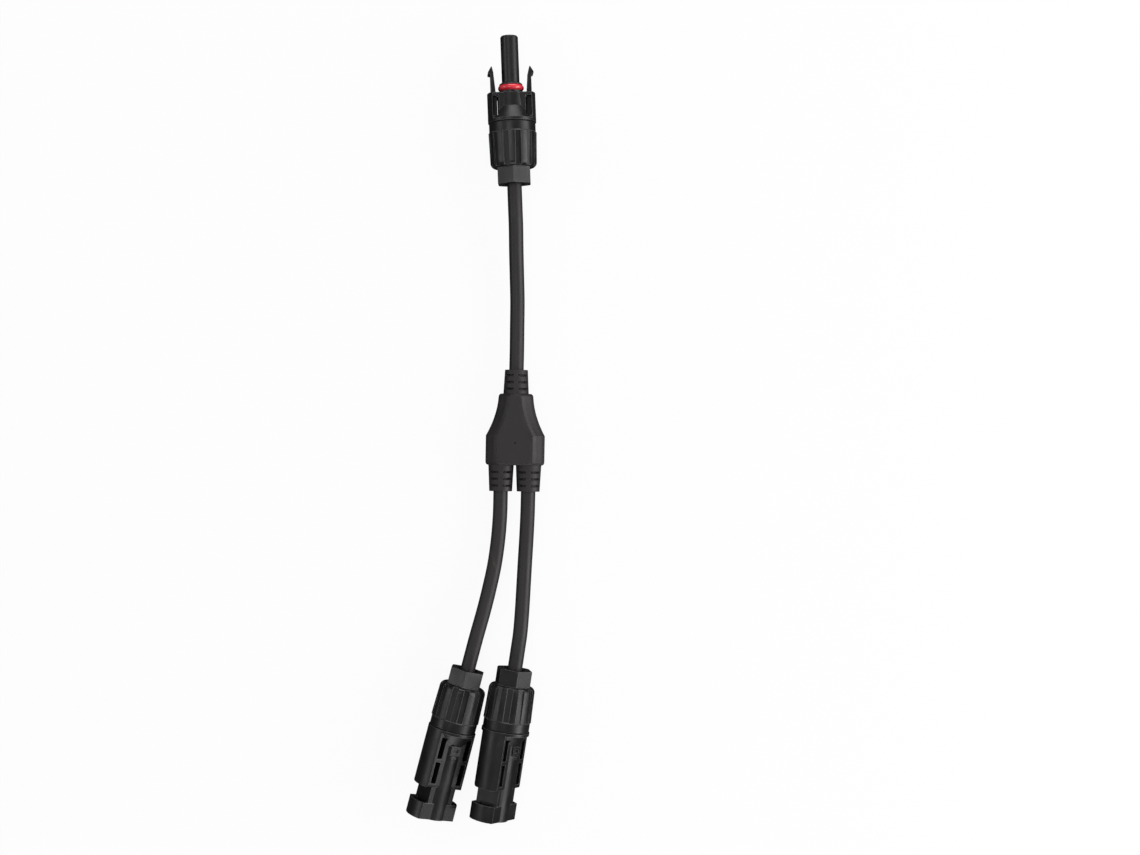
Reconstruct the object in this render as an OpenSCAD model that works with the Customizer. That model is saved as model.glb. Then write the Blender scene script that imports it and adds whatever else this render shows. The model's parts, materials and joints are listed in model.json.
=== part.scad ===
// Y-branch solar cable harness: one latching plug, a moulded splitter and two receptacles,
// laid out flat. +Z is up, +Y runs along the harness to the plug, millimetres.

/* [Cable] */
// outside diameter of the cable jacket
cable_d = 5.9; // [4.9:0.1:7.1]
// diameter of the stranded conductor
conductor_d = 2.6; // [2.1:0.1:3.2]
// how far the straight cable end stands out behind a nut
cable_tail_l = 8.3; // [6.8:0.1:10]

/* [Layout] */
// sideways place of the plug's seam between housing and nut
plug_x = 14.9; // [5:0.1:25]
// lengthways place of the plug's seam
plug_y = 123.7; // [115:0.1:135]
// heading of the plug, anticlockwise from +Y
plug_yaw = 2.1; // [-10:0.1:10]
// turn of the plug about its own axis
plug_roll = 5; // [-45:1:45]
// middle between the two receptacles, sideways
pair_x = 1.45; // [-5:0.05:5]
// gap between the two receptacles at their flanges
pair_gap = 2.1; // [1.9:0.1:6]
// lengthways place of the left receptacle's seam
left_y = -121.2; // [-135:0.1:-115]
// heading of the left receptacle, anticlockwise from +Y
left_yaw = 165.3; // [160:0.1:170]
// turn of the left receptacle about its own axis
left_roll = -34; // [-60:1:60]
// lengthways place of the right receptacle's seam
right_y = -121.5; // [-135:0.1:-115]
// heading of the right receptacle, anticlockwise from +Y
right_yaw = 171.3; // [168:0.1:180]
// turn of the right receptacle about its own axis
right_roll = -57; // [-80:1:80]
// sideways place of the splitter's middle
splitter_x = 16.1; // [10:0.1:20]
// lengthways place of the splitter's middle
splitter_y = -0.2; // [-10:0.1:10]
// heading of the splitter, anticlockwise from +Y
splitter_yaw = -1; // [-5:0.5:5]

/* [Gland nut] */
// thickness of the rubber grommet round the cable
grommet_wall = 2.55; // [1.5:0.05:3.5]
// wall of a housing's tail round its grommet
tail_wall = 1.9; // [1.2:0.1:2.6]
// wall of the nut's smooth collar round a tail
nut_wall = 2.0; // [1.8:0.1:2.6]
// length of the round part of the nut
nut_round_l = 18.1; // [17.5:0.1:22]
// length of the hexagon
hex_l = 6.5; // [4.5:0.1:7.8]
// wall of the hexagon round the cable hole
hex_wall = 2.75; // [2.3:0.05:3.1]
// smooth length in front of the grooves
nut_collar_l = 4.1; // [3:0.1:5]
// number of grip grooves
groove_n = 12; // [8:1:14]
// width of one grip groove
groove_w = 2.4; // [1.6:0.1:2.8]
// slope of a groove's floor, degrees
groove_slope = 3.5; // [2.5:0.5:4]
// radius of the nut's rounded shoulder
shoulder_r = 2.1; // [1.8:0.1:2.5]
// axial length of the threaded tail
tail_l = 13; // [11:0.1:13.5]
// distance that the nut backs off before it leaves its thread
nut_travel = 6; // [4:0.5:6]

/* [Housings] */
// how far a flange and the grip ribs stand out past the nut's collar
flange_lip = 0.35; // [0.2:0.05:0.5]
// thickness of the flange next to the nut
flange_l = 1.2; // [0.8:0.1:1.8]
// wall outside a latch arm
wing_wall = 1.55; // [1.3:0.05:1.8]
// width of the flats past a latch arm on each side
flat_margin = 2.5; // [2:0.1:3]

/* [Contacts] */
// diameter of the contact pin
pin_d = 4; // [3.3:0.1:4.8]
// reach of the contact pin from the bottom of its bore
pin_l = 14.4; // [12:0.1:17]
// radial play of a pin in its socket
pin_play = 0.05; // [0.03:0.01:0.09]
// wall of the contact socket
contact_wall = 0.7; // [0.6:0.05:0.9]

/* [Plug] */
// length of the plug's wide body
plug_body_l = 11.8; // [11:0.1:14]
// length of the nose in front of the wide body
nose_l = 23.4; // [20:0.1:26]
// wall of the nose tube
nose_wall = 0.825; // [0.7:0.025:1.1]
// how far the collars beside the sealing ring stand out from the nose
seal_collar_h = 1.1; // [0.8:0.05:1.3]
// how far the sealing ring stands out from the nose
seal_ring_h = 1.7; // [1.5:0.05:1.9]
// length of the sealing ring along the nose
seal_ring_t = 2.6; // [2.2:0.1:2.8]
// wall of the barrel behind the nose
barrel_wall = 3.2; // [2.8:0.1:3.6]
// width of one latch arm
latch_w = 6.4; // [5.3:0.1:7.7]
// thickness of one latch arm at the wide body
latch_t = 1.85; // [1.6:0.05:2.1]
// thickness of one latch arm behind its hook
latch_hook_t = 1.2; // [1:0.05:1.5]
// reach of the latch arms in front of the wide body
latch_reach = 10.7; // [10.5:0.1:12]
// how far the latch barb stands out
barb_h = 1.0; // [0.8:0.1:1.1]

/* [Receptacle] */
// length of a receptacle in front of its seam
recept_l = 36.5; // [36:0.1:44]
// length of the receptacle's wings, from its seam
wing_l = 23.6; // [22:0.1:24.2]
// length of the mouth collar
mouth_l = 6.6; // [5.8:0.1:7.2]
// squeeze of the sealing ring's radius in the mouth
seal_squeeze = 0.125; // [0.05:0.025:0.2]
// depth of the mouth
mouth_depth = 5; // [4.4:0.1:6]
// radial play of a nose in its bore
nose_play = 0.175; // [0.1:0.025:0.3]
// wall of the tube round the mouth
tube_wall = 1.25; // [1:0.05:1.5]

/* [Splitter] */
// length of the splitter's body
split_l = 29; // [26:0.5:35]
// rubber round a cable where a boot leaves the body
boot_root_wall = 2.25; // [2:0.05:2.5]
// rubber round a cable at a boot's end
boot_end_wall = 1.7; // [1.5:0.05:2]
// rubber above and below a boot's root
split_cover = 1.1; // [0.9:0.1:1.8]
// rubber outside the two branch boots
split_side = 1.2; // [0.9:0.1:2]
// rubber on each side of the trunk boot
neck_side = 1.85; // [1.5:0.05:3]
// share of the body over which it widens
flare_share = 0.59; // [0.5:0.01:0.7]
// gap between the two branch boots
boot_gap = 0.8; // [0.5:0.1:2]
// length of the one-cable boot
trunk_boot_l = 9.7; // [9:0.1:12]
// length of each two-cable boot
branch_boot_l = 10.6; // [9:0.1:13]

/* [Fits] */
// radial clearance of the nut on its tail and of a held piece in its seat
fit_gap = 0.05; // [0.03:0.01:0.09]
// gap between two pieces that move past each other
free_gap = 0.3; // [0.25:0.05:0.4]

/* [Hidden] */
$fn = 64;
eps = 0.01;                     // overrun of a cut past a face

black_plastic = [0.09, 0.09, 0.095];
grey_rubber = [0.19, 0.175, 0.175];
seal_red = [0.78, 0.14, 0.17];
tin = [0.72, 0.72, 0.70];
copper = [0.72, 0.42, 0.26];
spring_gold = [0.85, 0.68, 0.32];
claw_grey = [0.32, 0.32, 0.34];

cable_r = cable_d / 2;
conductor_r = conductor_d / 2;
grommet_r = cable_r + grommet_wall;
grommet_seat_r = grommet_r + fit_gap;
grommet_end_room = 0.7;         // room in front of and behind the grommet
seat_floor = -1.5;              // floor of the grommet's seat, from the seam
strip_end = -2;                 // where the jacket is stripped back to, from the seam
tail_r = grommet_r + tail_wall;
nut_r = tail_r + nut_wall;       // smooth collar of the nut
nut_l = nut_round_l + hex_l;
cable_hole_r = cable_r + 0.8;   // the nut slides over the cable
hex_r = (cable_hole_r + hex_wall) / cos(30);
seam_gap = 0.1;                 // between a nut's front and its flange
housing_r = nut_r + flange_lip; // flange, and the grip ribs at their front
axis_z = housing_r;             // the flanges rest on the floor
left_x = pair_x - housing_r - pair_gap / 2;
right_x = pair_x + housing_r + pair_gap / 2;

pin_r = pin_d / 2;
socket_r = pin_r + pin_play;
contact_r = pin_r + contact_wall;
contact_flange_r = contact_r + 0.6;
barrel_start = strip_end + 0.4; // rear end of a crimp barrel
barrel_end = 6.5;
flange_start = 7.5;             // flange that seats a contact
flange_end = 8.7;
contact_step_z = flange_end + fit_gap;
claw_l = 5.4;
claw_slot_n = 8;
claw_bore_r = cable_r + 0.25;

nose_r = contact_r + fit_gap + nose_wall;
nose_tip_z = plug_body_l + nose_l;
ring_z = plug_body_l + 2.3;     // middle of the sealing ring
ring_groove_half = 1.25;
ring_seat_r = nose_r + 0.2;
seal_collar_r = nose_r + seal_collar_h;
seal_ring_r = nose_r + seal_ring_h;
collar_end_z = ring_z + ring_groove_half + 0.7;
barrel_r = nose_r + barrel_wall;
barrel_z = 6.2;                 // where the plug's cone ends
socket_tip_z = nose_tip_z - 1;
socket_depth = 18;
spring_l = 7;
spring_t = 0.25;
spring_z = socket_tip_z - 3 - spring_l;

latch_outer = housing_r - wing_wall; // outer face of a latch arm, from the axis
latch_inner = latch_outer - latch_t;
latch_root_in = latch_inner - 0.4; // inner face of an arm's root
latch_root_z = 1.9;
latch_tip_z = plug_body_l + latch_reach;
catch_z = plug_body_l + mouth_l + 1; // the barb's catch face
latch_room = 0.35;              // room beside an arm's edges
flat_half = latch_w / 2 + flat_margin;
channel_in = latch_inner - 0.75; // room for an arm that is pressed in
channel_out = latch_outer + 0.25;
channel_half = latch_w / 2 + latch_room;
window_in = latch_inner - 0.95;

cavity_z = recept_l - nose_l - 0.3; // bottom of the bore that takes a nose
nose_bore_r = nose_r + nose_play;
mouth_r = seal_ring_r - seal_squeeze;
tube_r = mouth_r + tube_wall;
pin_tip_z = cavity_z + pin_l;
notch_end_z = recept_l - mouth_l;
floor_half = flat_half - 0.5;   // half height of the block behind a latch notch
wing_corner_r = 1.2;
cone_end_z = flange_l + 4.4;

boot_root_r = cable_r + boot_root_wall;
boot_end_r = cable_r + boot_end_wall;
split_r = boot_root_r + split_cover;
branch_x = boot_root_r + boot_gap / 2;
split_half = branch_x + boot_root_r + split_side;
neck_half = boot_root_r + neck_side;
bevel_w = 4.6;                  // width of the sloped sides
side_half = 1.7;                // half height of the upright side wall
boot_slot_w = 0.8;
boot_slot_pitch = 2.75;
boot_slot_end = 1.9;            // from a boot's end to its first row of slots
boot_slot_depth = 1.3;
boot_bridge_w = 1.8;            // rubber left above and below
boot_side_w = 2.4;              // rubber left at the sides
strand_r = conductor_r - 0.2;   // a bared branch conductor, squeezed in the splice
strand_x = strand_r + 0.25;
ferrule_l = 10;
ferrule_bore_r = strand_x + strand_r + 0.1;
ferrule_r = ferrule_bore_r + 0.75;
trunk_jacket_y = 7;             // where the trunk's jacket ends inside the splitter
branch_jacket_y = -12;
cord_sides = 12;

trunk_route = [[16.6, 23.9, 6.3], [16.7, 32, 6.3], [16.8, 42, 6.0], [16.9, 52, 6.0],
    [16.7, 62, 6.5], [16.5, 72, 7.6], [16.4, 82, 9.0], [16.1, 91.7, 9.75]];
left_route = [[10.1, -24.9, 6.3], [9.8, -35, 6.1], [9, -45, 6.0], [7.6, -55, 6.2],
    [5.7, -64, 7.0], [3.5, -73, 8.3], [1, -82, 9.4], [-1.4, -90.7, 9.75]];
right_route = [[21.3, -24.9, 6.3], [21, -35, 6.1], [20.5, -45, 6.0], [19.9, -55, 6.2],
    [19.4, -64, 7.0], [18.9, -73, 8.3], [18.2, -82, 9.4], [17, -90.2, 9.75]];

// placing

// a connector is drawn along +Z from its seam, with its wings on +X and -X
module place_connector(x, y, yaw, roll) {
    translate([x, y, axis_z]) rotate([0, 0, yaw]) rotate([-90, 0, 0]) rotate([0, 0, roll]) children();
}

module place_plug() {
    place_connector(plug_x, plug_y, plug_yaw, plug_roll) children();
}

module place_left() {
    place_connector(left_x, left_y, left_yaw, left_roll) children();
}

module place_right() {
    place_connector(right_x, right_y, right_yaw, right_roll) children();
}

// the splitter is drawn along +Y about its middle
module place_splitter() {
    translate([splitter_x, splitter_y, split_r]) rotate([0, 0, splitter_yaw]) children();
}

module along_y() {
    rotate([-90, 0, 0]) children();
}

// shared shapes

// a tube or rod from z0 to z1
module rod(z0, z1, r) {
    translate([0, 0, z0]) cylinder(h = z1 - z0, r = r);
}

module cone(z0, z1, r0, r1) {
    translate([0, 0, z0]) cylinder(h = z1 - z0, r1 = r0, r2 = r1);
}

// a straight rod between two points
module strut(a, b, r) {
    d = b - a;
    l = norm(d);
    translate(a) rotate([0, acos(d[2] / l), atan2(d[1], d[0])]) cylinder(h = l, r = r);
}

// side outline with rounded front corners: x across, y along
module rounded_front(half_w, back, front, r) {
    translate([-half_w, back]) square([2 * half_w, front - back - r]);
    translate([r - half_w, back]) square([2 * (half_w - r), front - back]);
    for (s = [-1, 1]) translate([s * (half_w - r), front - r]) circle(r);
}

// a round block cut by the two flats, from the seam side to a rounded front
module winged_block(z0, z1, corner_r) {
    intersection() {
        rod(z0, z1, housing_r);
        rotate([90, 0, 90]) linear_extrude(height = 2 * housing_r + 2, center = true)
            rounded_front(flat_half, z0 - 1, z1, corner_r);
    }
}

// a box on both sides of the axis: x from x0 to x1, y within half_y, z from z0 to z1
module side_boxes(x0, x1, half_y, z0, z1) {
    for (s = [0, 1]) mirror([s, 0, 0]) translate([x0, -half_y, z0]) cube([x1 - x0, 2 * half_y, z1 - z0]);
}

// one ring of a swept tube, square to the route at point i
function route_step(route, i) =
    let (a = route[max(i - 1, 0)], b = route[min(i + 1, len(route) - 1)]) (b - a) / norm(b - a);
function route_ring(route, i, r) =
    let (t = route_step(route, i), side = cross(t, [0, 0, 1]) / norm(cross(t, [0, 0, 1])), up = cross(side, t))
    [for (k = [0:cord_sides - 1]) let (a = 360 * k / cord_sides) route[i] + r * (cos(a) * side + sin(a) * up)];

// closed skin over n_rings rings of n points each
function skin_faces(n_rings, n) = concat(
    [[for (k = [0:n - 1]) k]],
    [[for (k = [0:n - 1]) (n_rings - 1) * n + n - 1 - k]],
    [for (i = [0:n_rings - 2], k = [0:n - 1])
        [i * n + k, (i + 1) * n + k, (i + 1) * n + (k + 1) % n, i * n + (k + 1) % n]]);

module cord_tube(route) {
    points = [for (i = [0:len(route) - 1]) each route_ring(route, i, cable_r)];
    polyhedron(points, skin_faces(len(route), cord_sides), convexity = 4);
}

// gland parts, the same on all three connectors

// nut with its seam face just behind the flange; the first hexagon corner points along turn
module gland_nut(turn) {
    front = -seam_gap;
    rear = front - nut_l;
    rib_front = front - nut_collar_l;
    shoulder_z = front - nut_round_l + shoulder_r;
    dome_r = nut_r - shoulder_r;
    round_end = front - nut_round_l + 0.1;
    cone_start = -tail_l - free_gap - nut_travel / 6;
    cone_end = cone_start - claw_l;
    bore_r = tail_r + fit_gap;
    edge = 0.3;
    groove_front_depth = 0.1;
    color(black_plastic) rotate([0, 0, turn]) difference() {
        union() {
            rotate_extrude() {
                polygon([[0, front], [nut_r - edge, front], [nut_r, front - edge], [nut_r, rib_front + edge],
                    [housing_r, rib_front], [nut_r, shoulder_z], [dome_r, round_end], [0, round_end]]);
                intersection() {
                    translate([dome_r, shoulder_z]) circle(shoulder_r);
                    translate([0, shoulder_z - shoulder_r]) square([nut_r, shoulder_r]);
                }
            }
            intersection() {
                translate([0, 0, rear]) cylinder(h = hex_l + shoulder_r, r = hex_r, $fn = 6);
                cone(rear, front, hex_r - 0.35, hex_r - 0.35 + (front - rear));
            }
        }
        for (k = [0:groove_n - 1]) rotate([0, 0, (k + 0.5) * 360 / groove_n])
            translate([nut_r - groove_front_depth, 0, rib_front]) rotate([0, groove_slope, 0])
                translate([0, -groove_w / 2, -nut_round_l]) cube([3, groove_w, nut_round_l]);
        rod(cone_start, front + eps, bore_r);
        cone(cone_end, cone_start + eps, cable_hole_r + 0.35, bore_r);
        rod(rear - eps, cone_start, cable_hole_r);
        cone(rear - eps, rear + 0.8, cable_hole_r + 0.8, cable_hole_r);
    }
}

// clamping claw: a ring with slit fingers that the nut's cone closes onto the cable
module clamp_claw() {
    base = -tail_l - free_gap;
    ring_end = base - 1;
    tip = base - claw_l;
    base_r = tail_r - free_gap;
    tip_r = cable_hole_r + 0.2;
    slit_w = 0.7;
    color(claw_grey) difference() {
        union() {
            rod(ring_end, base, base_r);
            cone(tip, ring_end + eps, tip_r, base_r);
        }
        rod(tip - eps, base + eps, claw_bore_r);
        for (k = [0:claw_slot_n - 1]) rotate([0, 0, k * 360 / claw_slot_n])
            translate([0, -slit_w / 2, tip - eps]) cube([base_r + 1, slit_w, ring_end - tip]);
    }
}

module grommet() {
    color(grey_rubber) difference() {
        rod(-tail_l + grommet_end_room, seat_floor - grommet_end_room, grommet_r);
        rod(-tail_l, seat_floor, cable_r + fit_gap);
        // sealing lips left between shallow grooves
        for (k = [0:2]) translate([0, 0, -tail_l + grommet_end_room + 2.6 * (k + 0.7)]) difference() {
            cylinder(h = 0.9, r = grommet_r + 1);
            translate([0, 0, -eps]) cylinder(h = 0.9 + 2 * eps, r = grommet_r - 0.4);
        }
    }
}

module cable_end() {
    color(grey_rubber) rod(-nut_l - seam_gap - cable_tail_l, strip_end, cable_r);
}

module conductor_end() {
    color(copper) rod(strip_end, barrel_end - 1.2, conductor_r);
}

// tail, grommet seat and contact seat shared by the housings
module tail_solid() {
    rod(-tail_l, flange_l, tail_r);
    rod(0, flange_l, housing_r);
}

module housing_bores(contact_end) {
    rod(-tail_l - eps, seat_floor, grommet_seat_r);
    rod(seat_floor - eps, contact_step_z, contact_flange_r + fit_gap);
    rod(contact_step_z - eps, contact_end, contact_r + fit_gap);
}

// crimp barrel and seating flange shared by the contacts
module contact_rear() {
    difference() {
        rod(barrel_start, flange_end, contact_r);
        rod(barrel_start - eps, barrel_end, conductor_r + fit_gap);
    }
    rod(flange_start, flange_end, contact_flange_r);
}

// plug

module plug_housing() {
    color(black_plastic) difference() {
        union() {
            tail_solid();
            winged_block(0, plug_body_l, 0.6);
            cone(flange_l - eps, barrel_z, housing_r - 0.3, barrel_r);
            cone(barrel_z - eps, plug_body_l, barrel_r, barrel_r - 0.35);
            rod(0, ring_z - ring_groove_half, seal_collar_r);
            rod(0, ring_z + ring_groove_half + eps, ring_seat_r);
            rod(ring_z + ring_groove_half, collar_end_z - 0.4, seal_collar_r);
            cone(collar_end_z - 0.4, collar_end_z, seal_collar_r, seal_collar_r - 0.5);
            rod(0, nose_tip_z - 0.5, nose_r);
            cone(nose_tip_z - 0.5, nose_tip_z, nose_r, nose_r - 0.35);
        }
        housing_bores(socket_tip_z + fit_gap);
        rod(socket_tip_z, nose_tip_z + eps, socket_r);
        side_boxes(window_in, channel_out, channel_half, latch_root_z - free_gap, plug_body_l + eps);
        side_boxes(window_in, latch_outer - 0.3, housing_r, latch_root_z + 0.3, plug_body_l - 1.4);
    }
}

// one arm, drawn on +X: thick root, tapered arm, arrow-shaped hook
module latch_arm() {
    hook_in = latch_outer - latch_hook_t;
    barb_out = latch_outer + barb_h;
    barb_edge = 0.6;
    color(black_plastic) rotate([90, 0, 0]) linear_extrude(height = latch_w, center = true)
        polygon([[latch_root_in, latch_root_z], [latch_outer, latch_root_z], [latch_outer, catch_z],
            [barb_out, catch_z + 0.3], [barb_out, catch_z + 0.3 + barb_edge], [latch_outer - 0.3, latch_tip_z],
            [latch_outer - 0.6, latch_tip_z], [hook_in, catch_z + barb_edge], [hook_in, catch_z],
            [latch_inner, plug_body_l], [latch_root_in, plug_body_l - 1.2]]);
}

module plug_latch_left() {
    mirror([1, 0, 0]) latch_arm();
}

module plug_latch_right() {
    latch_arm();
}

module plug_contact_socket() {
    spring_seat_r = socket_r + spring_t + fit_gap;
    color(tin) difference() {
        union() {
            contact_rear();
            rod(flange_end - eps, socket_tip_z, contact_r);
        }
        rod(socket_tip_z - socket_depth, socket_tip_z + eps, socket_r);
        rod(spring_z - fit_gap, spring_z + spring_l + fit_gap, spring_seat_r);
    }
}

// slit band that grips the other connector's pin
module plug_contact_spring() {
    color(spring_gold) difference() {
        rod(spring_z, spring_z + spring_l, socket_r + spring_t);
        rod(spring_z - eps, spring_z + spring_l + eps, socket_r);
        for (k = [0:7]) rotate([0, 0, 45 * k]) translate([0, -0.2, spring_z + 1]) cube([2 * socket_r, 0.4, spring_l - 2]);
    }
}

module plug_seal_ring() {
    color(seal_red) translate([0, 0, ring_z]) rotate_extrude() intersection() {
        translate([seal_ring_r - seal_ring_t / 2, 0]) circle(seal_ring_t / 2 - fit_gap);
        translate([ring_seat_r + 0.02, -seal_ring_t]) square([seal_ring_r, 2 * seal_ring_t]);
    }
}

// receptacles

// small moulded clip where a cone meets its tube, above and below
module raised_clip(z, r) {
    clip_w = 4.4;
    clip_l = 3.6;
    pocket_w = 2.4;
    pocket_l = 1.5;
    for (s = [0, 1]) mirror([0, s, 0]) difference() {
        translate([-clip_w / 2, r - 1.5, z]) cube([clip_w, 2.0, clip_l]);
        translate([-pocket_w / 2, r - 0.3, z + 1]) cube([pocket_w, 3, pocket_l]);
    }
}

module receptacle_housing() {
    slot_in = latch_inner - 1.6;
    slot_out = slot_in + 2.3;
    slot_start_z = flange_l + 1.6;
    slot_end_z = wing_l - 1.8;
    slot_mid_z = (slot_start_z + slot_end_z) / 2;
    bridge = 1.4;
    color(black_plastic) difference() {
        union() {
            tail_solid();
            winged_block(0, wing_l, wing_corner_r);
            cone(flange_l - eps, cone_end_z, housing_r - 0.4, tube_r);
            intersection() {
                rod(0, recept_l, tube_r);
                translate([-channel_in, -tube_r, 0]) cube([2 * channel_in, 2 * tube_r, notch_end_z]);
            }
            rod(0, wing_l - 1, tube_r);
            rod(notch_end_z, recept_l, tube_r);
            translate([-channel_in, -floor_half, wing_l - 1])
                cube([2 * channel_in, 2 * floor_half, notch_end_z - wing_l + 1 + eps]);
            winged_block(notch_end_z, recept_l, 0.3);
            raised_clip(cone_end_z + 0.2, tube_r);
            translate([-1.2, -tube_r - 0.2, cone_end_z + 4.6]) cube([2.4, 2 * tube_r + 0.4, 0.7]);
        }
        housing_bores(cavity_z + eps);
        rod(cavity_z, recept_l, nose_bore_r);
        cone(recept_l - mouth_depth - 1.4, recept_l - mouth_depth + eps, nose_bore_r, mouth_r);
        rod(recept_l - mouth_depth, recept_l + eps, mouth_r);
        side_boxes(channel_in, channel_out, channel_half, notch_end_z - 1, recept_l + eps);
        side_boxes(channel_in, channel_out, channel_half, wing_l - 3, wing_l + eps);
        side_boxes(slot_in, slot_out, housing_r, slot_start_z, slot_mid_z - bridge / 2);
        side_boxes(slot_in, slot_out, housing_r, slot_mid_z + bridge / 2, slot_end_z);
    }
}

module receptacle_contact_pin() {
    color(tin) {
        contact_rear();
        rod(flange_end - eps, cavity_z - 0.1, contact_r);
        rod(cavity_z - 0.2, pin_tip_z - 0.9, pin_r);
        cone(pin_tip_z - 0.9, pin_tip_z, pin_r, pin_r - 0.7);
    }
}

// splitter

// an eight-cornered section with its corners rounded, at half width w
function section_corners(w, inset) = let (h = split_r - inset, b = bevel_w, s = side_half, e = w - inset)
    [[e, s], [e, -s], [e - b, -h], [b - e, -h], [-e, -s], [-e, s], [b - e, h], [e - b, h]];
function rounded_section(c, k) = [for (i = [0:len(c) - 1])
    let (a = c[(i + len(c) - 1) % len(c)], p = c[i], b = c[(i + 1) % len(c)],
        ra = min(k / norm(a - p), 0.45), rb = min(k / norm(b - p), 0.45), q = p + (a - p) * ra, r = p + (b - p) * rb)
    each [q, 0.25 * q + 0.5 * p + 0.25 * r, r]];
// half width at y: a flare from the neck, slow at first, then parallel sides
function split_half_w(y) = let (t = min((split_l / 2 - y) / (flare_share * split_l), 1))
    neck_half + (split_half - neck_half) * pow(max(t, 0), 1.9);
// rings along the body: [distance in from each end, how far the section is drawn in]
function split_rings() = let (e = split_l / 2)
    concat([[-e, 0.9], [0.3 - e, 0.35], [0.9 - e, 0.05], [1.8 - e, 0]],
        [for (k = [0:9]) [e - 1.8 - (9 - k) * (flare_share * split_l - 1.8) / 9, 0]],
        [[e - 0.9, 0.05], [e - 0.3, 0.35], [e, 0.9]]);

module split_body() {
    rings = split_rings();
    points = [for (g = rings) each [for (p = rounded_section(section_corners(split_half_w(g[0]), g[1]), 1.6))
        [p[0], g[0], p[1]]]];
    polyhedron(points, skin_faces(len(rings), 24), convexity = 4);
}

// tapered boot with three rows of slots, four to a row, drawn along +Z
module boot(l, x_shift) {
    translate([x_shift, 0, 0]) difference() {
        cylinder(h = l, r1 = boot_root_r, r2 = boot_end_r);
        for (k = [0:2]) translate([0, 0, l - boot_slot_end - boot_slot_w - k * boot_slot_pitch]) difference() {
            cylinder(h = boot_slot_w, r = 2 * boot_root_r);
            translate([0, 0, -eps]) cylinder(h = boot_slot_w + 2 * eps, r = boot_end_r - boot_slot_depth);
            translate([-boot_bridge_w / 2, -2 * boot_root_r, -eps])
                cube([boot_bridge_w, 4 * boot_root_r, boot_slot_w + 1]);
            translate([-2 * boot_root_r, -boot_side_w / 2, -eps])
                cube([4 * boot_root_r, boot_side_w, boot_slot_w + 1]);
        }
    }
}

// everything that lies inside the splitter's rubber, grown by g
module splice_parts(g) {
    translate([0, trunk_jacket_y - g, 0]) along_y()
        cylinder(h = split_l / 2 + trunk_boot_l - trunk_jacket_y + 2 * g, r = cable_r + g);
    translate([0, -ferrule_l / 2 - g, 0]) along_y() cylinder(h = ferrule_l + 2 * g, r = ferrule_r + g);
    along_y() cylinder(h = trunk_jacket_y, r = conductor_r + g);
    for (s = [-1, 1]) {
        translate([s * branch_x, branch_jacket_y + g, 0]) rotate([90, 0, 0])
            cylinder(h = split_l / 2 + branch_boot_l + branch_jacket_y + 2 * g, r = cable_r + g);
        strand(s, g);
    }
}

// a bared branch conductor: straight in the ferrule, then out to its jacket
module strand(s, g) {
    bend_y = -ferrule_l / 2 - 1;
    translate([s * strand_x, -0.6, 0]) rotate([90, 0, 0]) cylinder(h = -bend_y, r = strand_r + g);
    strut([s * strand_x, bend_y + 0.4, 0], [s * branch_x, branch_jacket_y, 0], strand_r - 0.05 + g);
}

module splitter_moulding() {
    color(grey_rubber) difference() {
        union() {
            split_body();
            translate([0, split_l / 2 - 0.6, 0]) along_y() boot(trunk_boot_l + 0.6, 0);
            for (s = [-1, 1]) translate([s * branch_x, 0.6 - split_l / 2, 0]) rotate([90, 0, 0])
                boot(branch_boot_l + 0.6, 0);
        }
        splice_parts(fit_gap);
        translate([0, -split_l * 0.185, split_r - 0.25]) cylinder(h = 1, r = 0.45);
    }
}

module splice_ferrule() {
    color(tin) translate([0, -ferrule_l / 2, 0]) along_y() difference() {
        cylinder(h = ferrule_l, r = ferrule_r);
        translate([0, 0, -eps]) cylinder(h = ferrule_l + 2 * eps, r = ferrule_bore_r);
    }
}

module trunk_splice_conductor() {
    color(copper) along_y() cylinder(h = trunk_jacket_y, r = conductor_r);
}

module trunk_splitter_end() {
    color(grey_rubber) translate([0, trunk_jacket_y, 0]) along_y()
        cylinder(h = split_l / 2 + trunk_boot_l - trunk_jacket_y, r = cable_r);
}

module branch_splitter_end(s) {
    color(grey_rubber) translate([s * branch_x, branch_jacket_y, 0]) rotate([90, 0, 0])
        cylinder(h = split_l / 2 + branch_boot_l + branch_jacket_y, r = cable_r);
}

// the harness

place_splitter() splitter_moulding();
place_splitter() splice_ferrule();
place_splitter() trunk_splice_conductor();
place_splitter() color(copper) strand(-1, 0);  // left_splice_conductor
place_splitter() color(copper) strand(1, 0);  // right_splice_conductor
place_splitter() trunk_splitter_end();
place_splitter() branch_splitter_end(-1);  // left_splitter_end
place_splitter() branch_splitter_end(1);  // right_splitter_end
color(grey_rubber) cord_tube(trunk_route);  // trunk_cable
color(grey_rubber) cord_tube(left_route);  // left_branch_cable
color(grey_rubber) cord_tube(right_route);  // right_branch_cable

place_plug() plug_housing();
place_plug() plug_latch_left();
place_plug() plug_latch_right();
place_plug() plug_contact_socket();
place_plug() plug_contact_spring();
place_plug() plug_seal_ring();
place_plug() grommet();  // plug_grommet
place_plug() clamp_claw();  // plug_clamp_claw
place_plug() gland_nut(30 - plug_roll);  // plug_nut
place_plug() cable_end();  // plug_cable_end
place_plug() conductor_end();  // plug_conductor

place_left() receptacle_housing();  // left_housing
place_left() receptacle_contact_pin();  // left_contact_pin
place_left() grommet();  // left_grommet
place_left() clamp_claw();  // left_clamp_claw
place_left() gland_nut(30 - left_roll);  // left_nut
place_left() cable_end();  // left_cable_end
place_left() conductor_end();  // left_conductor

place_right() receptacle_housing();  // right_housing
place_right() receptacle_contact_pin();  // right_contact_pin
place_right() grommet();  // right_grommet
place_right() clamp_claw();  // right_clamp_claw
place_right() gland_nut(17 - right_roll);  // right_nut
place_right() cable_end();  // right_cable_end
place_right() conductor_end();  // right_conductor
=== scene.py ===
import json
import math

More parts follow.
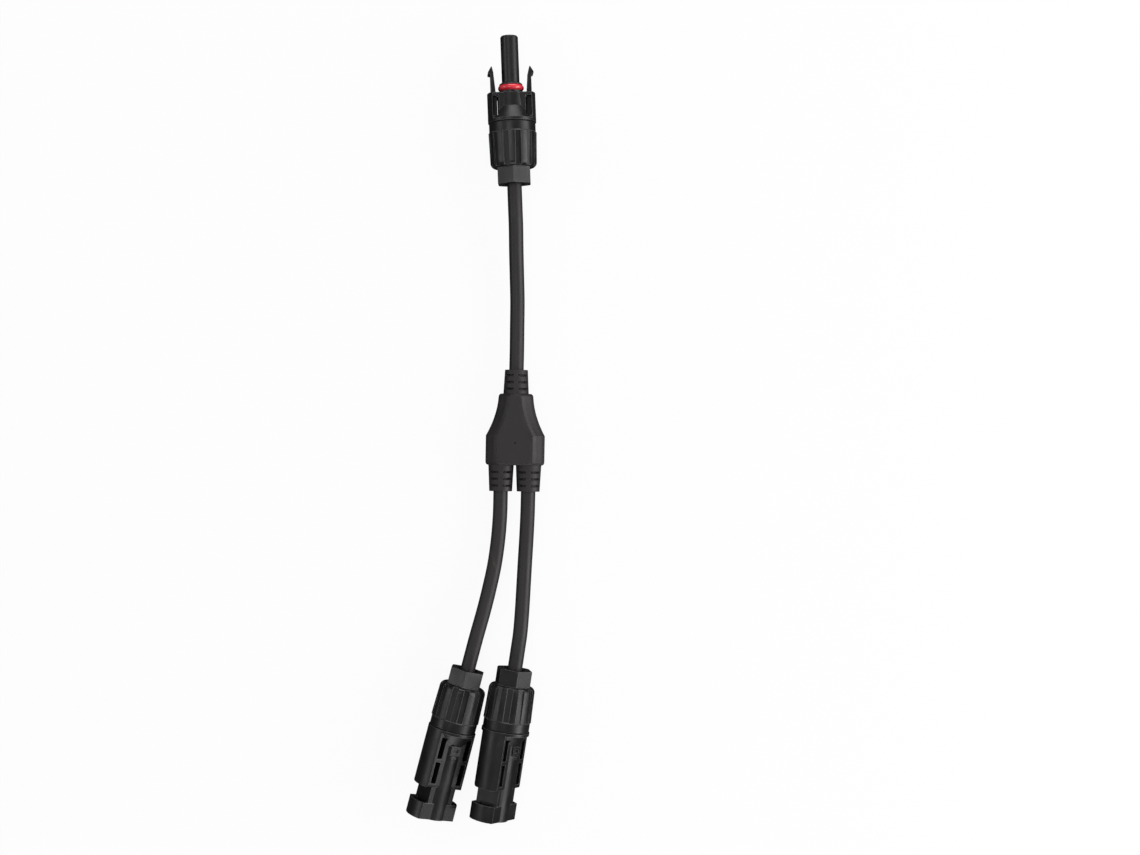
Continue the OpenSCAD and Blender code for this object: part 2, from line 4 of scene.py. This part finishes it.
import bpy
import numpy as np
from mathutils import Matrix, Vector


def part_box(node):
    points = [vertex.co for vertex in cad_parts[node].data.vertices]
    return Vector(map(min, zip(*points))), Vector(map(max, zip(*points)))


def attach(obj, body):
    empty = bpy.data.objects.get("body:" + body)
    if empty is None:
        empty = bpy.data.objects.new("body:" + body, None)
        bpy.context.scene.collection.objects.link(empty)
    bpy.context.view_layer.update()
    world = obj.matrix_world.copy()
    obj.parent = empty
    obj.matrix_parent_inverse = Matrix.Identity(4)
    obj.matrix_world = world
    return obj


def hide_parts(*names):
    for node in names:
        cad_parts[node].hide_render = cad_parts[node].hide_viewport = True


# Solar cable connector: a Y-branch harness with one plug and two receptacles.
# Metres, +Z up, +Y towards the plug.
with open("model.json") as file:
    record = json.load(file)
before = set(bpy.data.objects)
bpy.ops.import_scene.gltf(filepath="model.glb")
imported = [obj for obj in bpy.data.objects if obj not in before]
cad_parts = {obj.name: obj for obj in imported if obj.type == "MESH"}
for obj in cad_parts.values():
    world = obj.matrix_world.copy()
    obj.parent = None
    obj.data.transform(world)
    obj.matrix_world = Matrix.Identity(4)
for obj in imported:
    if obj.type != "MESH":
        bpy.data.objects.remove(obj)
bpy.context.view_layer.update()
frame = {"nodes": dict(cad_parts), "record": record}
scene = bpy.context.scene

cameraView = {
    "centre": (0.0383, 0.0006),  # the point of the floor under the lens
    "height": 0.660,  # above the connectors' axes
    "fieldWidth": 0.4615,  # seen width at the axes' height
    "sensorWidth": 36.0,
    "clip": (0.01, 20.0),
}


def addCamera(v):
    low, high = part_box("plug_housing")
    axisHeight = float(low[2] + high[2]) / 2
    data = bpy.data.cameras.new("camera")
    data.sensor_width = v["sensorWidth"]
    data.lens = v["sensorWidth"] * v["height"] / v["fieldWidth"]
    data.clip_start, data.clip_end = v["clip"]
    cam = bpy.data.objects.new("camera", data)
    cam.location = (*v["centre"], axisHeight + v["height"])
    scene.collection.objects.link(cam)
    scene.camera = cam


addCamera(cameraView)
print("stage: camera")


def meshObject(name, verts, faces, smooth=True):
    me = bpy.data.meshes.new(name)
    me.from_pydata(verts.tolist(), [], faces)
    me.validate()
    me.polygons.foreach_set("use_smooth", np.full(len(me.polygons), smooth))
    me.update()
    ob = bpy.data.objects.new(name, me)
    scene.collection.objects.link(ob)
    return ob


# cubic Hermite pieces with slopes from the neighbouring points:
# p(t) = (2t^3 - 3t^2 + 1) a + (t^3 - 2t^2 + t) ma + (3t^2 - 2t^3) b + (t^3 - t^2) mb
def smoothPath(points, perSpan):
    p = np.asarray(points, float)
    slope = np.gradient(p, axis=0)
    t = np.linspace(0, 1, perSpan, endpoint=False)[None, :, None]
    a, b = p[:-1, None, :], p[1:, None, :]
    ma, mb = slope[:-1, None, :], slope[1:, None, :]
    line = (2 * t**3 - 3 * t**2 + 1) * a + (t**3 - 2 * t**2 + t) * ma
    line = line + (3 * t**2 - 2 * t**3) * b + (t**3 - t**2) * mb
    return np.vstack([line.reshape(-1, 3), p[-1:]])


# rings round a path: centre + r (cos a * side + sin a * up), side level and square to the path
def sweptTube(name, path, radius, around):
    tangent = np.gradient(path, axis=0)
    tangent /= np.linalg.norm(tangent, axis=1, keepdims=True)
    side = np.cross(tangent, (0.0, 0.0, 1.0))
    side /= np.linalg.norm(side, axis=1, keepdims=True)
    up = np.cross(side, tangent)
    a = (np.arange(around) * 2 * math.pi / around)[None, :, None]
    ring = np.cos(a) * side[:, None, :] + np.sin(a) * up[:, None, :]
    verts = (path[:, None, :] + radius * ring).reshape(-1, 3)
    last = len(path) - 1
    i, k = np.meshgrid(np.arange(last), np.arange(around), indexing="ij")
    k2 = (k + 1) % around
    corners = [i * around + k, i * around + k2, (i + 1) * around + k2, (i + 1) * around + k]
    quads = np.stack(corners, -1).reshape(-1, 4).tolist()
    caps = [list(range(around))[::-1], [last * around + j for j in range(around)]]
    return meshObject(name, verts, quads + caps)


cable = {
    "diameter": 0.0059,
    "around": 32,
    "perSpan": 6,
    "endTolerance": 1e-4,  # how near a rod's end a vertex counts as on its end face
    "pathStep": 2,  # rings between the points that the cord's path is declared with
}
# name: route points in metres, then its solids: free run, end in the connector, end in the splitter
cableRoutes = {
    "trunk": {
        "route": [(0.0166, 0.0239, 0.0063), (0.0167, 0.032, 0.0063), (0.0168, 0.042, 0.006),
                  (0.0169, 0.052, 0.006), (0.0167, 0.062, 0.0065), (0.0165, 0.072, 0.0076),
                  (0.0164, 0.082, 0.009), (0.0161, 0.0917, 0.00975)],
        "nodes": ("trunk_cable", "plug_cable_end", "trunk_splitter_end"),
    },
    "left_branch": {
        "route": [(0.0101, -0.0249, 0.0063), (0.0098, -0.035, 0.0061), (0.009, -0.045, 0.006),
                  (0.0076, -0.055, 0.0062), (0.0057, -0.064, 0.007), (0.0035, -0.073, 0.0083),
                  (0.001, -0.082, 0.0094), (-0.0014, -0.0907, 0.00975)],
        "nodes": ("left_branch_cable", "left_cable_end", "left_splitter_end"),
    },
    "right_branch": {
        "route": [(0.0213, -0.0249, 0.0063), (0.021, -0.035, 0.0061), (0.0205, -0.045, 0.006),
                  (0.0199, -0.055, 0.0062), (0.0194, -0.064, 0.007), (0.0189, -0.073, 0.0083),
                  (0.0182, -0.082, 0.0094), (0.017, -0.0902, 0.00975)],
        "nodes": ("right_branch_cable", "right_cable_end", "right_splitter_end"),
    },
}


# middles of a rod node's two end faces, nearest to a point first
def rodEnds(node, near, tolerance):
    me = frame["nodes"][node].data
    v = np.empty(len(me.vertices) * 3)
    me.vertices.foreach_get("co", v)
    v = np.unique(np.round(v.reshape(-1, 3), 6), axis=0)
    axis = np.linalg.svd(v - v.mean(0), full_matrices=False)[2][0]
    s = (v - v.mean(0)) @ axis
    ends = [v[s > s.max() - tolerance].mean(0), v[s < s.min() + tolerance].mean(0)]
    return sorted(ends, key=lambda e: np.linalg.norm(e - np.asarray(near)))


def addCable(name, spec, c):
    far, near = spec["nodes"][1:]
    route = spec["route"]
    bootEnd, insideSplitter = rodEnds(near, route[0], c["endTolerance"])
    behindNut, insideHousing = rodEnds(far, route[-1], c["endTolerance"])
    points = np.vstack([insideSplitter, bootEnd, route[1:-1], behindNut, insideHousing])
    line = smoothPath(points, c["perSpan"])
    ob = sweptTube(name + "_jacket", line, c["diameter"] / 2, c["around"])
    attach(ob, "harness")
    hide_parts(*spec["nodes"])
    return ob


cables = {name: addCable(name, spec, cable) for name, spec in cableRoutes.items()}
print("stage: cables")


def newGroup(name, inputs, outputs):
    g = bpy.data.node_groups.new(name, "ShaderNodeTree")
    for label, kind, default in inputs:
        s = g.interface.new_socket(label, in_out="INPUT", socket_type="NodeSocket" + kind)
        s.default_value = default
    for label, kind in outputs:
        g.interface.new_socket(label, in_out="OUTPUT", socket_type="NodeSocket" + kind)
    return g, g.nodes.new("NodeGroupInput").outputs, g.nodes.new("NodeGroupOutput").inputs


def setInput(tree, socket, value):
    if isinstance(value, bpy.types.NodeSocket):
        tree.links.new(value, socket)
    else:
        socket.default_value = value


def addNode(tree, kind, inputs=None, **settings):
    n = tree.nodes.new("ShaderNode" + kind)
    for key, value in settings.items():
        setattr(n, key, value)
    for key, value in (inputs or {}).items():
        setInput(tree, n.inputs[key], value)
    return n


# moulding grain: height = fine noise + broadShare * broad noise, cloud = broad noise stretched to 0..1
grainShape = {
    "broadScale": 0.06, "broadShare": 0.5, "cloudRange": (0.35, 0.68), "fineDetail": 3.0, "broadDetail": 4.0,
}


def makeGrainGroup(v):
    g, gin, gout = newGroup("mouldGrain", [("Vector", "Vector", (0, 0, 0)), ("Fineness", "Float", 2500.0)],
                            [("Height", "Float"), ("Cloud", "Float")])
    place, fineness = gin["Vector"], gin["Fineness"]
    fine = addNode(g, "TexNoise", {"Vector": place, "Scale": fineness, "Detail": v["fineDetail"]})
    scale = addNode(g, "Math", {0: fineness, 1: v["broadScale"]}, operation="MULTIPLY")
    broad = addNode(g, "TexNoise", {"Vector": place, "Scale": scale.outputs[0],
                                    "Detail": v["broadDetail"]}).outputs[0]
    height = addNode(g, "Math", {0: broad, 1: v["broadShare"], 2: fine.outputs[0]}, operation="MULTIPLY_ADD")
    cloud = addNode(g, "MapRange", {0: broad, 1: v["cloudRange"][0], 2: v["cloudRange"][1]})
    g.links.new(height.outputs[0], gout["Height"])
    g.links.new(cloud.outputs[0], gout["Cloud"])
    return g


# thin scuffs: mask = amount * (1 - |stretched noise - 0.5| / lineWidth) where a second noise is high
scuffShape = {
    "turn": (0.4, 0.2, 0.9), "stretch": (1.0, 0.18, 1.0), "lineWidth": 0.012, "lineMiddle": 0.5,
    "lineDetail": 6.0, "waviness": 0.6, "where": (0.55, 0.75), "whereDetail": 2.0,
}


def makeScuffGroup(v):
    g, gin, gout = newGroup("scuffs", [("Vector", "Vector", (0, 0, 0)), ("Scale", "Float", 90.0),
                                       ("Amount", "Float", 0.4)], [("Mask", "Float")])
    place, scale = gin["Vector"], gin["Scale"]
    turned = addNode(g, "Mapping", {"Vector": place, "Rotation": v["turn"], "Scale": v["stretch"]}).outputs[0]
    lines = addNode(g, "TexNoise", {"Vector": turned, "Scale": scale, "Detail": v["lineDetail"],
                                    "Distortion": v["waviness"]})
    off = addNode(g, "Math", {0: lines.outputs[0], 1: v["lineMiddle"]}, operation="SUBTRACT")
    ridge = addNode(g, "Math", {0: off.outputs[0]}, operation="ABSOLUTE")
    narrow = addNode(g, "MapRange", {0: ridge.outputs[0], 1: v["lineWidth"], 2: 0.0, 3: 0.0, 4: 1.0})
    patch = addNode(g, "TexNoise", {"Vector": place, "Scale": scale, "Detail": v["whereDetail"]})
    where = addNode(g, "MapRange", {0: patch.outputs[0], 1: v["where"][0], 2: v["where"][1]})
    both = addNode(g, "Math", {0: narrow.outputs[0], 1: where.outputs[0]}, operation="MULTIPLY")
    mask = addNode(g, "Math", {0: both.outputs[0], 1: gin["Amount"]}, operation="MULTIPLY")
    g.links.new(mask.outputs[0], gout["Mask"])
    return g


# painted edge highlight: mask = strength * (rounded normal . true normal, mapped from 0.99..0.8 to 0..1)
edgeShape = {"samples": 6, "lean": (0.99, 0.8)}


def makeEdgeGroup(v):
    g, gin, gout = newGroup("edgeHighlight", [("Radius", "Float", 0.0003), ("Strength", "Float", 1.0)],
                            [("Mask", "Float"), ("Normal", "Vector")])
    rounded = addNode(g, "Bevel", {"Radius": gin["Radius"]}, samples=v["samples"]).outputs[0]
    true = addNode(g, "NewGeometry").outputs["Normal"]
    lean = addNode(g, "VectorMath", {0: rounded, 1: true}, operation="DOT_PRODUCT").outputs["Value"]
    corner = addNode(g, "MapRange", {0: lean, 1: v["lean"][0], 2: v["lean"][1], 3: 0.0, 4: 1.0})
    mask = addNode(g, "Math", {0: corner.outputs[0], 1: gin["Strength"]}, operation="MULTIPLY")
    g.links.new(mask.outputs[0], gout["Mask"])
    g.links.new(rounded, gout["Normal"])
    return g


groups = {
    "grain": makeGrainGroup(grainShape),
    "scuff": makeScuffGroup(scuffShape),
    "edge": makeEdgeGroup(edgeShape),
}


def newMaterial(name):
    m = bpy.data.materials.new(name)
    m.use_nodes = True
    m.node_tree.nodes.clear()
    return m, m.node_tree


def placeGroup(tree, group, **values):
    n = tree.nodes.new("ShaderNodeGroup")
    n.node_tree = group
    for key, value in values.items():
        setInput(tree, n.inputs[key], value)
    return n.outputs


def mixColour(tree, factor, a, b):
    n = addNode(tree, "Mix", data_type="RGBA")
    setInput(tree, n.inputs["Factor"], factor)
    for socket, value in ((n.inputs[6], a), (n.inputs[7], b)):
        setInput(tree, socket, value if isinstance(value, bpy.types.NodeSocket) else (*value, 1.0))
    return n.outputs[2]


noStretch = (1.0, 1.0, 1.0)  # of the grain along X, Y and Z


# moulded or scuffed surface: colour = base -> cloud -> scuff -> painted edge highlight, each mixed in by its
# mask;
# normal = rounded edges + grain height
def surfaceMaterial(name, s):
    m, tree = newMaterial(name)
    shader = addNode(tree, "BsdfPrincipled")
    out = addNode(tree, "OutputMaterial")
    tree.links.new(shader.outputs[0], out.inputs[0])
    place = addNode(tree, "TexCoord").outputs["Object"]
    drawn = addNode(tree, "Mapping", {"Vector": place, "Scale": s.get("stretch", noStretch)}).outputs[0]
    grain = placeGroup(tree, groups["grain"], Vector=drawn, Fineness=s["fineness"])
    scuff = placeGroup(tree, groups["scuff"], Vector=place, Scale=s["scuffScale"], Amount=s["scuffAmount"])
    edge = placeGroup(tree, groups["edge"], Radius=s["edgeRadius"], Strength=s["edgeHighlight"])
    clouded = mixColour(tree, grain["Cloud"], s["colour"], s["cloudColour"])
    scuffed = mixColour(tree, scuff["Mask"], clouded, s["scuffColour"])
    # painted highlight: a light colour laid along the edges, where light would catch them
    edgeHighlighted = mixColour(tree, edge["Mask"], scuffed, s["edgeHighlightColour"])
    rough = addNode(tree, "MapRange", {0: grain["Cloud"], 1: 0.0, 2: 1.0, 3: s["rough"][0], 4: s["rough"][1]})
    bump = addNode(tree, "Bump", {"Strength": s["bump"], "Distance": s["bumpDepth"],
                                  "Height": grain["Height"], "Normal": edge["Normal"]})
    tree.links.new(edgeHighlighted, shader.inputs["Base Color"])
    tree.links.new(rough.outputs[0], shader.inputs["Roughness"])
    tree.links.new(bump.outputs[0], shader.inputs["Normal"])
    for key, value in s["sockets"].items():
        shader.inputs[key].default_value = value
    return m


# each finish's edge colour is a painted highlight laid along its edges
blackPlastic = {
    "colour": (0.0045, 0.0045, 0.0047), "cloudColour": (0.0068, 0.0068, 0.0071),
    "scuffColour": (0.045, 0.045, 0.045), "scuffScale": 120.0, "scuffAmount": 0.3,
    "edgeHighlightColour": (0.13, 0.13, 0.13), "edgeHighlight": 1.0, "edgeRadius": 0.00028,
    "fineness": 2600.0, "rough": (0.32, 0.44), "bump": 0.25, "bumpDepth": 0.00008,
    "sockets": {"Specular IOR Level": 0.28},
}
# lighter grey copy of the black plastic: a painted sheen for the light the claws catch
clawPlasticPaintedSheen = {
    **blackPlastic,
    "colour": (0.07, 0.07, 0.075), "cloudColour": (0.09, 0.09, 0.095), "edgeHighlightColour": (0.14, 0.14, 0.145),
    "rough": (0.45, 0.55),
}
jacketRubber = {
    "colour": (0.0105, 0.0090, 0.0088), "cloudColour": (0.0150, 0.0130, 0.0127),
    "scuffColour": (0.06, 0.055, 0.052), "scuffScale": 70.0, "scuffAmount": 0.45,
    "edgeHighlightColour": (0.024, 0.022, 0.021), "edgeHighlight": 0.3, "edgeRadius": 0.0003,
    "fineness": 1800.0, "stretch": (1.0, 0.2, 1.0), "rough": (0.46, 0.62), "bump": 0.3, "bumpDepth": 0.0001,
    "sockets": {"Specular IOR Level": 0.30},
}
splitterRubber = {
    **jacketRubber,
    "colour": (0.0112, 0.0094, 0.0092), "cloudColour": (0.0155, 0.0132, 0.0128),
    "edgeRadius": 0.0005, "edgeHighlight": 0.45, "stretch": noStretch, "rough": (0.50, 0.66), "bump": 0.4,
}
grommetRubber = {**splitterRubber, "rough": (0.6, 0.75)}
redSilicone = {
    "colour": (0.50, 0.018, 0.030), "cloudColour": (0.60, 0.030, 0.045),
    "scuffColour": (0.75, 0.20, 0.22), "scuffScale": 150.0, "scuffAmount": 0.2,
    "edgeHighlightColour": (0.70, 0.10, 0.12), "edgeHighlight": 0.2, "edgeRadius": 0.0002,
    "fineness": 2200.0, "rough": (0.24, 0.34), "bump": 0.12, "bumpDepth": 0.00005,
    "sockets": {"Subsurface Weight": 0.15, "Subsurface Scale": 0.001, "Coat Weight": 0.15},
}
tinPlate = {
    "colour": (0.66, 0.65, 0.62), "cloudColour": (0.74, 0.73, 0.70),
    "scuffColour": (0.40, 0.39, 0.37), "scuffScale": 200.0, "scuffAmount": 0.5,
    "edgeHighlightColour": (0.80, 0.79, 0.76), "edgeHighlight": 0.5, "edgeRadius": 0.00015,
    "fineness": 3000.0, "rough": (0.24, 0.38), "bump": 0.1, "bumpDepth": 0.00003,
    "sockets": {"Metallic": 1.0},
}
tinnedCopper = {
    **tinPlate,
    "colour": (0.70, 0.60, 0.50), "cloudColour": (0.76, 0.68, 0.58), "stretch": (1.0, 0.05, 1.0), "bump": 0.5,
}
springBronze = {**tinPlate, "colour": (0.72, 0.50, 0.22), "cloudColour": (0.78, 0.57, 0.28)}

finishes = {
    "black_plastic": surfaceMaterial("satinBlackPlastic", blackPlastic),
    "claw_plastic": surfaceMaterial("clawPlasticPaintedSheen", clawPlasticPaintedSheen),
    "grommet_rubber": surfaceMaterial("grommetRubber", grommetRubber),
    "red_silicone": surfaceMaterial("redSilicone", redSilicone),
    "splitter_rubber": surfaceMaterial("splitterRubber", splitterRubber),
    "cable_jacket": surfaceMaterial("cableJacket", jacketRubber),
    "tinned_copper": surfaceMaterial("tinnedCopper", tinnedCopper),
    "tinned_contact": surfaceMaterial("tinPlate", tinPlate),
    "spring_bronze": surfaceMaterial("springBronze", springBronze),
}

slotOfNode = {s["node"]: s["material_slot"] for s in frame["record"]["subparts"]}
for nodeName, nodeObject in frame["nodes"].items():
    for place in nodeObject.material_slots:
        place.material = finishes[slotOfNode[nodeName]]
for jacket in cables.values():
    jacket.data.materials.append(finishes["cable_jacket"])
print("stage: materials")

studio = {
    "floorHalf": 2.0,
    "floorDrop": 0.0002,  # just under the object
    "floorSeen": (1.0, 1.0, 1.0),  # what the camera sees
    "floorSeenShare": 0.93,  # the rest is shaded, so contact shadows stay faint
    "floorLit": (0.62, 0.62, 0.62),
    "floorBounce": (0.05, 0.05, 0.05),  # what every other ray sees
    "worldColour": (1.0, 1.0, 1.0),
    "worldStrength": 0.26,
}
panels = {  # name: place, aim, size in metres, watts
    "rightPanel": ((0.75, -0.05, 0.30), (0.0, 0.0, 0.0), (0.9, 0.45), 9.0),
    "leftPanel": ((-0.80, 0.10, 0.45), (0.0, 0.0, 0.0), (0.7, 0.25), 2.2),
    "plugEndPanel": ((0.10, 0.85, 0.30), (0.0, 0.05, 0.0), (0.6, 0.3), 4.0),
    "mouthEndPanel": ((0.05, -0.85, 0.30), (0.0, -0.05, 0.0), (0.6, 0.3), 4.0),
    "overheadPanel": ((-0.25, 0.15, 1.1), (0.0, 0.0, 0.0), (0.35, 0.35), 3.0),
}


# camera rays see floorSeenShare of a flat light and the rest diffuse; all other rays see a dim diffuse
def floorMaterial(s):
    m, tree = newMaterial("paleFloor")
    seen = addNode(tree, "Emission", {"Color": (*s["floorSeen"], 1.0)}).outputs[0]
    shaded = addNode(tree, "BsdfDiffuse", {"Color": (*s["floorLit"], 1.0)}).outputs[0]
    bounce = addNode(tree, "BsdfDiffuse", {"Color": (*s["floorBounce"], 1.0)}).outputs[0]
    toCamera = addNode(tree, "MixShader", {0: s["floorSeenShare"], 1: shaded, 2: seen}).outputs[0]
    isCamera = addNode(tree, "LightPath").outputs["Is Camera Ray"]
    chosen = addNode(tree, "MixShader", {0: isCamera, 1: bounce, 2: toCamera}).outputs[0]
    addNode(tree, "OutputMaterial", {0: chosen})
    return m


def addStudio(s):
    h, z = s["floorHalf"], -s["floorDrop"]
    corners = np.array([[-h, -h, z], [h, -h, z], [h, h, z], [-h, h, z]])
    floor = meshObject("floor", corners, [[0, 1, 2, 3]], smooth=False)
    floor.data.materials.append(floorMaterial(s))
    world = bpy.data.worlds.new("studio")
    world.use_nodes = True
    back = world.node_tree.nodes["Background"]
    back.inputs[0].default_value = (*s["worldColour"], 1.0)
    back.inputs[1].default_value = s["worldStrength"]
    scene.world = world


def addPanel(name, place, aim, size, watts):
    data = bpy.data.lights.new(name, "AREA")
    data.shape, data.size, data.size_y, data.energy = "RECTANGLE", size[0], size[1], watts
    ob = bpy.data.objects.new(name, data)
    ob.location = place
    ob.rotation_euler = (Vector(aim) - Vector(place)).to_track_quat("-Z", "Y").to_euler()
    scene.collection.objects.link(ob)


addStudio(studio)
for panelName, panel in panels.items():
    addPanel(panelName, *panel)
scene.view_settings.view_transform = "Standard"
print("stage: studio")
